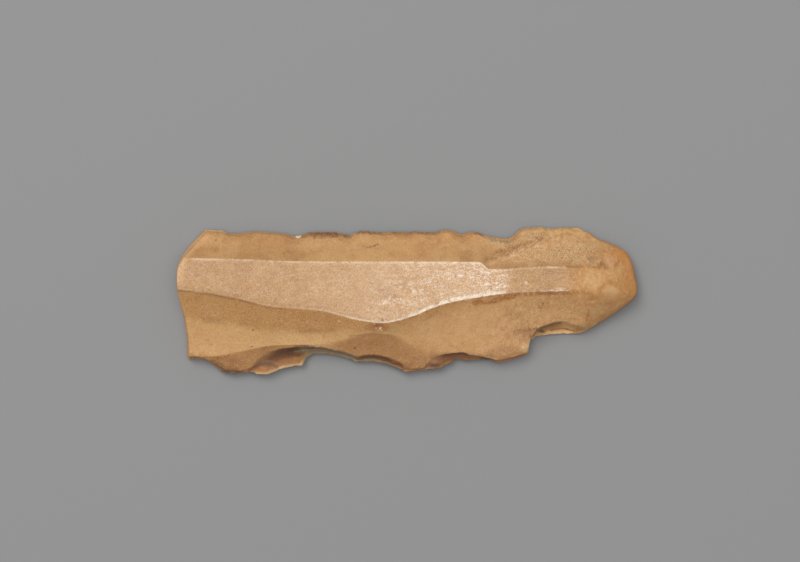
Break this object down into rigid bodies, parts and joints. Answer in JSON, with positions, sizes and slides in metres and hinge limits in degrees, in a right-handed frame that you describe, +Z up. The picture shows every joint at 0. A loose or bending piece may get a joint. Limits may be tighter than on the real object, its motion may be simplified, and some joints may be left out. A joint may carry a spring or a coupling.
{
  "type": "flint sickle blade",
  "caption": "Tan-brown flint sickle blade: a trapezoidal blade with two dorsal arrises, snapped at one end, retouched along both long edges, lying on its ventral face.",
  "frame": {"origin": "centre of the bounding box in plan, on the plane that the blade lies on", "axes": "+X along the blade from the snapped end to the butt, +Y towards the thin nibbled edge, +Z up from the ventral face to the dorsal arrises"},
  "size_m": [0.0748, 0.024, 0.0068],
  "materials": {
    "flint": "satin"
  },
  "bodies": {
    "root": {"flint_blade": "flint"}
  },
  "joints": []
}
